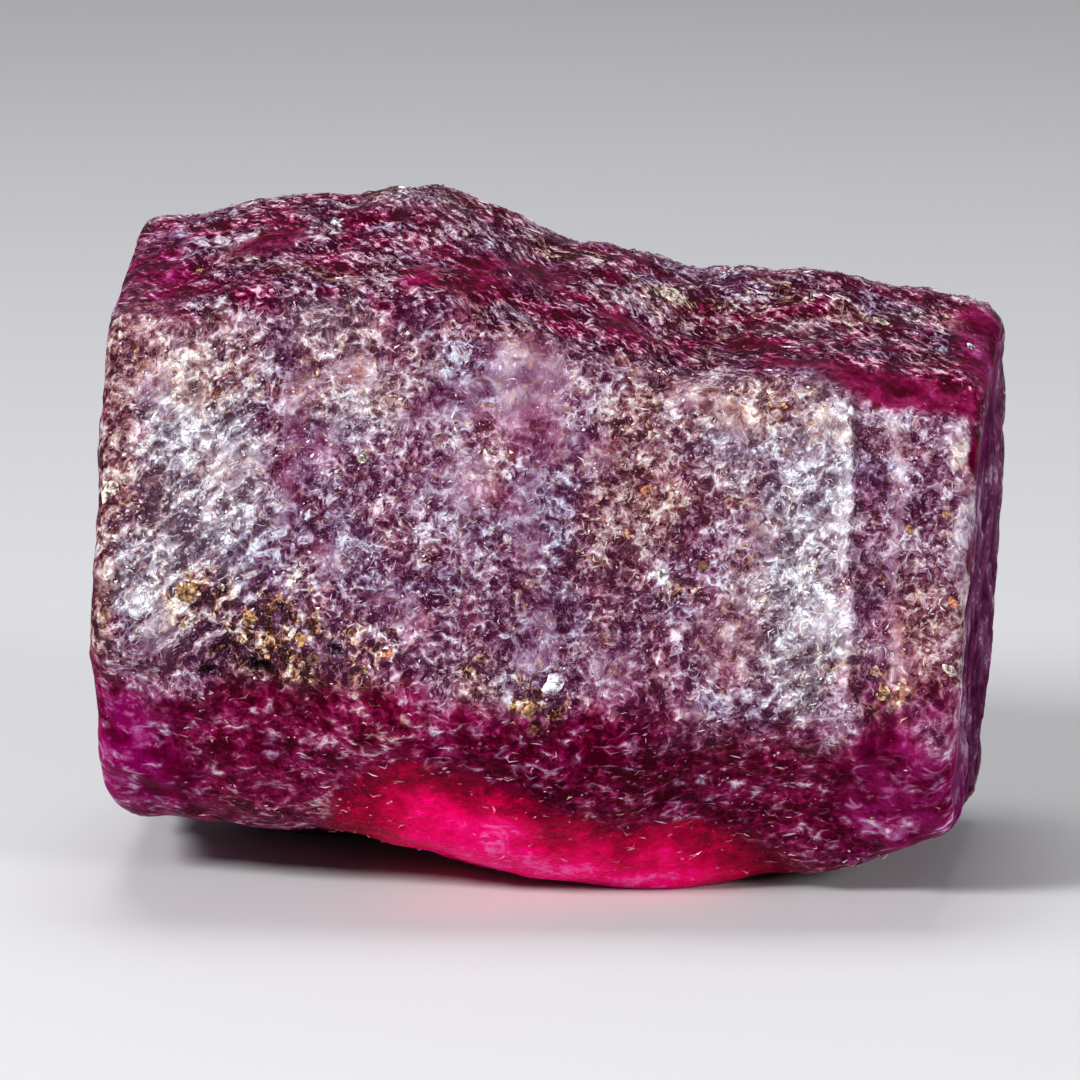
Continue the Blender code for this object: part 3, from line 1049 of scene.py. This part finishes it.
# How the flakes lean in the zones that have a direction: (zone, share of its flakes, lean, spread).
FLAKE_LEANS = (
    ("slant", 0.7, SLANT, 0.3),
    ("top", 0.75, STRIA_LEAN, 0.4),
    ("strokes", 0.7, STROKE_LEAN, 0.5),
)
RANDOM_KINDS, KIND_SHARES = ("golden", "cream", "brown", "white"), (0.35, 0.25, 0.3, 0.1)
RANDOM_SIZES, RANDOM_LENGTHS, RANDOM_TINTS = (0.12, 0.3), (1.0, 1.25), (0.8, 1.2)
GRAIN_WIDTH, GRAIN_HEIGHT, GRAIN_SINKING = 0.9, 0.6, 0.2  # as shares of a grain's size
GRAIN_COLOURS = {
    "golden": (0.40, 0.20, 0.085),
    "cream": (0.66, 0.51, 0.44),
    "brown": (0.12, 0.04, 0.03),
    "white": (0.62, 0.57, 0.61),
    "orange": (0.52, 0.18, 0.09),
}
# (station, direction, size, kind)
GRAINS = (
    (-10.22, 18, 0.60, "cream"),
    (-8.35, 1, 0.75, "golden"),
    (-6.6, -3, 0.45, "golden"),
    (-5.4, -5, 0.40, "golden"),
    (-5.9, -8, 0.35, "orange"),
    (-3.2, -5, 0.35, "orange"),
    (-5.0, -9, 0.40, "brown"),
    (0.2, -12, 0.45, "golden"),
    (0.6, -9, 0.6, "white"),
    (2.9, 13, 0.50, "white"),
    (-4.5, 28, 0.45, "cream"),
    (3.9, 15, 0.45, "brown"),
    (2.45, 29, 0.40, "orange"),
    (2.3, 44, 0.35, "brown"),
    (8.4, -4, 0.40, "golden"),
    (10.0, 1, 0.35, "cream"),
    (9.9, 14, 0.35, "orange"),
    (9.7, 83, 0.28, "white"),
    (-5.9, 88, 0.45, "white"),
    (2.3, 91, 0.80, "cream"),
    (4.9, 95, 0.45, "brown"),
    (7.6, 88, 0.50, "cream"),
    (-3.0, 170, 0.60, "golden"),
    (4.0, 205, 0.60, "cream"),
    (6.5, 150, 0.50, "white"),
    (-6.5, 215, 0.50, "golden"),
)


def scatter(mesh, count, rng):
    """Points spread evenly over a mesh, and the skin's normal at each, in millimetres."""
    mesh.calc_loop_triangles()
    corners = np.empty(len(mesh.loop_triangles) * 3, np.int32)
    mesh.loop_triangles.foreach_get("vertices", corners)
    corners = corners.reshape(-1, 3)
    vertices, normals = surface(mesh)
    a, b, c = (vertices[corners[:, i]] for i in range(3))
    area = np.linalg.norm(np.cross(b - a, c - a), axis=1)
    chosen = rng.choice(len(corners), count, p=area / area.sum())
    u, v = rng.random((2, count, 1))
    swap = u + v > 1
    u, v = np.where(swap, 1 - u, u), np.where(swap, 1 - v, v)
    points = a[chosen] + u * (b - a)[chosen] + v * (c - a)[chosen]
    return points, unit(normals[corners[chosen]].mean(1))


def joined_mesh(name, corners, faces, tint):
    """One object from a stack of small closed shapes: corners is (shapes, corners, 3)."""
    shapes, per_shape, _ = corners.shape
    all_faces = faces + per_shape * np.arange(shapes)[:, None, None]
    mesh = bpy.data.meshes.new(name)
    mesh.from_pydata(corners.reshape(-1, 3) * MM, (), all_faces.reshape(-1, 3))
    mesh.validate()
    layer = mesh.attributes.new("tint", "FLOAT_COLOR", "POINT")
    tint = np.column_stack((tint, np.ones(shapes)))
    layer.data.foreach_set("color", np.repeat(tint, per_shape, axis=0).ravel())
    return add_object(name, mesh)


def flake_tints(points, zone, variety, rng):
    """The stone's colours at each flake, painted sheen, shade and glow included, from a random place on
    the ramp of its zone.
    """
    count = len(points)
    light = zone["bias"] + 0.03 + rippled(points, "flakes") + rng.normal(0.0, variety, count)
    light = np.clip(light + 0.12 * zone["clear"] + 0.16 * zone["strokes"], 0.22, 1.0 - 0.2 * zone["deep"])
    silver = (rng.random(count) < zone["sheen"])[:, None]
    warm = (rng.random(count) < 0.08 + 0.9 * zone["warm"] + 0.08 * zone["clear"])[:, None]
    golden = (rng.random(count) < 0.9 * zone["stain"])[:, None]
    tint = np.where(silver, ramp_colours(SILVER, light), ramp_colours(ETCHED, light))
    tint = np.where(warm, ramp_colours(WARM, light), tint)
    clear = (zone["clear"] * rng.uniform(0.0, 0.8, count))[:, None]
    tint = tint * (1 - clear) + ramp_colours(SMOOTH, light) * clear
    tint = np.where(golden, ramp_colours(GOLDEN, light), tint)
    # Flakes in the glow take on its painted hot pink too.
    hot = (zone["glow"] ** 0.5 * rng.uniform(0.5, 1.0, count))[:, None]
    return tint * (1 - hot) + ramp_colours(GLOWING, 0.6 * zone["glow"] + 0.5 * light) * hot


def picked(points, normals, zone, which):
    """Some of the points, with their normals and zones."""
    return points[which], normals[which], {key: values[which] for key, values in zone.items()}


def flake_seeds(skin, wanted, sparse, rng):
    """Points on the etched parts of the skin, the normals there and the zones that they are in."""
    points, normals = scatter(skin.data, wanted, rng)
    zone = zones(points, normals)
    shown = (1 - 0.7 * zone["glow"]) * (1 - zone["bare"]) * (1 - 0.5 * zone["strokes"])
    density = (sparse + (1 - sparse) * zone["frost"]) * shown
    kept = (rng.random(wanted) < density) & (points[:, 2] > LOWEST_FLAKE)
    return picked(points, normals, zone, kept)


def flake_axes(normals, zone, pitch, roll, rng):
    """The length, side and up axis of each flake, lying loosely in the skin."""
    count = len(normals)
    angle = rng.uniform(-math.pi / 2, math.pi / 2, count)
    for name, share, lean, astray in FLAKE_LEANS:
        leaning = rng.random(count) < share * zone[name]
        angle = np.where(leaning, lean + rng.normal(0, astray, count), angle)
    along, over = skin_axes(normals, angle)
    length_axis = unit(along + rng.normal(0, pitch, (count, 1)) * normals)
    side_axis = unit(over + rng.normal(0, roll, (count, 1)) * normals)
    return length_axis, side_axis, np.cross(length_axis, side_axis)


def placed_corners(points, axes, sizes, template):
    """The corners of one copy of the template at each point, sized along its three axes."""
    corners = points[:, None]
    for number, (axis, size) in enumerate(zip(axes, sizes)):
        corners = corners + template[..., number : number + 1] * (size * axis)[:, None]
    return corners


def etched_needles(name, skin, wanted, seed):
    """Small, bent, pointed needles lying in the etched skin."""
    rng = np.random.default_rng(seed)
    points, normals, zone = flake_seeds(skin, wanted, 0.16, rng)
    count = len(points)
    axes = flake_axes(normals, zone, 0.15, 0.5, rng)
    longer = 1 + 0.8 * zone["top"][:, None] + 0.3 * zone["strokes"][:, None]
    length = rng.uniform(*NEEDLE_LENGTHS, (count, 1)) * longer
    width = rng.uniform(*NEEDLE_WIDTHS, (count, 1))
    height = width * rng.uniform(0.6, 1.1, (count, 1))
    points = points + normals * rng.uniform(DEEPEST_FLAKE, HIGHEST_NEEDLE, (count, 1))
    bend = rng.normal(0, 0.22, (count, 1, 1)) * (1 - zone["top"][:, None, None])
    shape = np.repeat(NEEDLE_CORNERS[None], count, axis=0)
    shape[:, 2:, 1:2] += bend * (length / width)[:, None]
    corners = placed_corners(points, axes, (length, width, height), shape)
    return joined_mesh(name, corners, NEEDLE_FACES, flake_tints(points, zone, 0.2, rng))


def etched_chips(name, skin, wanted, seed):
    """Small, irregular plates with glinting tops, half sunk in the etched skin."""
    rng = np.random.default_rng(seed)
    points, normals, zone = flake_seeds(skin, wanted, 0.05, rng)
    count = len(points)
    axes = flake_axes(normals, zone, 0.3, 0.3, rng)
    length = rng.uniform(*CHIP_LENGTHS, (count, 1))
    width = length * rng.uniform(0.35, 0.8, (count, 1))
    height = rng.uniform(*CHIP_HEIGHTS, (count, 1))
    points = points + normals * rng.uniform(DEEPEST_FLAKE, 0.0, (count, 1))
    uneven = rng.uniform(0.6, 1.3, (count, len(CHIP_CORNERS), 1))
    corners = placed_corners(points, axes, (length, width, height), CHIP_CORNERS[None] * uneven)
    return joined_mesh(name, corners, CHIP_FACES, flake_tints(points, zone, 0.14, rng))


def grain_shape():
    """A ball of flat faces, 1 across: its corners and its triangles."""
    bm = bmesh.new()
    bmesh.ops.create_icosphere(bm, subdivisions=2, radius=0.5)
    corners = np.array([corner.co for corner in bm.verts])
    faces = np.array([[corner.index for corner in face.verts] for face in bm.faces])
    bm.free()
    return corners, faces


def chosen_grains(points, zone, rng):
    """Which of the points carry a grain, and each grain's size and kind: some at random, mostly among
    the stains, and some in known places."""
    station, direction = crystal_places(points)
    kept = rng.random(len(points)) < 0.035 * zone["stain"] + 0.0012
    kept &= (points[:, 2] > LOWEST_GRAIN) & (zone["end"] < 0.2) & (zone["glow"] < 0.2)
    chosen = list(np.flatnonzero(kept))
    sizes = list(rng.uniform(*RANDOM_SIZES, len(chosen)))
    kinds = list(rng.choice(RANDOM_KINDS, len(chosen), p=KIND_SHARES))
    for at, towards, size, kind in GRAINS:
        chosen.append(int(np.argmin(np.hypot(*offsets(station, direction, at, towards)))))
        sizes.append(size)
        kinds.append(kind)
    return np.array(chosen), np.array(sizes)[:, None], kinds


def mineral_grains(skin):
    """Foreign grains set in the skin: golden, cream, brown, orange and white."""
    rng = np.random.default_rng(SEED + 9)
    points, normals = scatter(skin.data, GRAINS_TRIED, rng)
    zone = zones(points, normals)
    chosen, sizes, kinds = chosen_grains(points, zone, rng)
    count = len(chosen)
    points, normals, zone = picked(points, normals, zone, chosen)
    axes = flake_axes(normals, zone, 0.3, 0.3, rng)
    shape, faces = grain_shape()
    lumps = [1 + rippled(shape + 5.0 * number, "lumps") for number in range(count)]
    shape = shape[None] * np.array(lumps)[..., None] * rng.uniform(0.92, 1.08, (count, len(shape), 1))
    lengths = sizes * rng.uniform(*RANDOM_LENGTHS, (count, 1))
    extent = (lengths, sizes * GRAIN_WIDTH, sizes * GRAIN_HEIGHT)
    corners = placed_corners(points - normals * sizes * GRAIN_SINKING, axes, extent, shape)
    tint = np.array([GRAIN_COLOURS[kind] for kind in kinds]) * rng.uniform(*RANDOM_TINTS, (count, 1))
    return joined_mesh("mineral_grains", corners, faces, tint)


# --- Studio ---
CAMERA_AZIMUTH, CAMERA_ELEVATION = math.radians(4), math.radians(10)
CAMERA_DISTANCE = 200
VIEW_WIDTH = 26.5  # that the frame takes in at the crystal
AIM_RIGHT, AIM_UP = -0.45, -0.25
SENSOR = 36.0
NEAREST, FARTHEST = 10, 10000  # that the camera sees
PALE, PALE_SHADE = (0.62, 0.62, 0.64), (0.59, 0.59, 0.61)
SOFTBOXES = (  # (name, place, size, power)
    ("key_left", (-150, -200, 170), 70, 1.0),
    ("key_right", (200, -160, 90), 60, 0.35),
    ("top", (-20, 60, 260), 140, 0.35),
)
LIT_PLACE = (0, 0, 8)  # that the softboxes face
FLOOR_REACH, FLOOR_BACK, FLOOR_BEND, FLOOR_STEPS = 700, 260, 180, 16
SURROUND, SURROUND_STRENGTH = (0.9, 0.92, 1.0), 0.15


def aim_at(place, target):
    """The rotation with which something at the place looks at the target."""
    return (Vector(target) - Vector(place)).to_track_quat("-Z", "Y").to_euler()


def camera():
    """The camera, at the angle of the reference view."""
    right = Vector((math.cos(CAMERA_AZIMUTH), math.sin(CAMERA_AZIMUTH), 0))
    level = Vector((-math.sin(CAMERA_AZIMUTH), math.cos(CAMERA_AZIMUTH), 0))
    forward = level * math.cos(CAMERA_ELEVATION) - Vector((0, 0, math.sin(CAMERA_ELEVATION)))
    up = right.cross(forward)
    low, high = CAD_BOX
    target = (Vector(low) + Vector(high)) / 2 + (right * AIM_RIGHT + up * AIM_UP) * MM
    data = bpy.data.cameras.new("camera")
    data.sensor_width = SENSOR
    data.lens = SENSOR * CAMERA_DISTANCE / VIEW_WIDTH
    data.clip_start, data.clip_end = NEAREST * MM, FARTHEST * MM
    made = add_object("camera", data)
    made.location = target - forward * CAMERA_DISTANCE * MM
    made.rotation_euler = aim_at(made.location, target)
    bpy.context.scene.camera = made


def softbox(name, place, size, power):
    """A square area light, with its place and size in millimetres."""
    data = bpy.data.lights.new(name, "AREA")
    data.size = size * MM
    data.energy = power
    light = add_object(name, data)
    light.location = Vector(place) * MM
    light.rotation_euler = aim_at(light.location, Vector(LIT_PLACE) * MM)


def floor_material():
    """A pale, faintly cloudy matt."""
    material, tree = new_material("pale_floor")
    tone = blend(tree, cloud(tree, object_places(tree), FLOOR_SHADE), PALE, PALE_SHADE)
    return finished(material, {"Base Color": tone, "Roughness": 0.6})


def floor():
    """A pale floor that curves up into a backdrop far behind."""
    turns = np.linspace(0, math.pi / 2, FLOOR_STEPS + 1)
    curve = zip(FLOOR_BACK + FLOOR_BEND * np.sin(turns), FLOOR_BEND * (1 - np.cos(turns)))
    profile = ((-FLOOR_REACH, 0), *curve, (FLOOR_BACK + FLOOR_BEND, FLOOR_REACH))
    corners = np.array([(x, y, z) for y, z in profile for x in (-FLOOR_REACH, FLOOR_REACH)])
    faces = [(row, row + 1, row + 3, row + 2) for row in range(0, len(corners) - 2, 2)]
    mesh = bpy.data.meshes.new("floor")
    mesh.from_pydata(corners * MM, (), faces, shade_flat=False)
    mesh.materials.append(floor_material())
    piece = add_object("floor", mesh)


def studio():
    """Plain, soft light: two boxes in front, one above and a dim, even surround."""
    for box in SOFTBOXES:
        softbox(*box)
    world = bpy.data.worlds.new("surround")
    world.use_nodes = True
    tree = world.node_tree
    feed(tree, tree.nodes["Background"], {"Color": SURROUND, "Strength": SURROUND_STRENGTH})
    bpy.context.scene.world = world
    bpy.context.scene.view_settings.view_transform = "Standard"


def ride(piece):
    """The piece goes with the crystal."""
    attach(piece, "root")


def main():
    """Dresses the crystal and sets up the studio around it."""
    skin = dressed_skin()
    skin.data.materials.clear()
    skin.data.materials.append(ruby_skin())
    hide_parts(NODE)
    ride(skin)
    flakes = flake_material()
    pieces = (
        (mineral_grains(skin), grain_material()),
        (etched_needles("etched_needles", skin, NEEDLES_TRIED, SEED), flakes),
        (etched_chips("etched_chips_1", skin, CHIPS_TRIED, SEED + 1), flakes),
        (etched_chips("etched_chips_2", skin, CHIPS_TRIED, SEED + 2), flakes),
    )
    for piece, material in pieces:
        piece.data.materials.append(material)
        ride(piece)
    camera()
    floor()
    studio()


main()
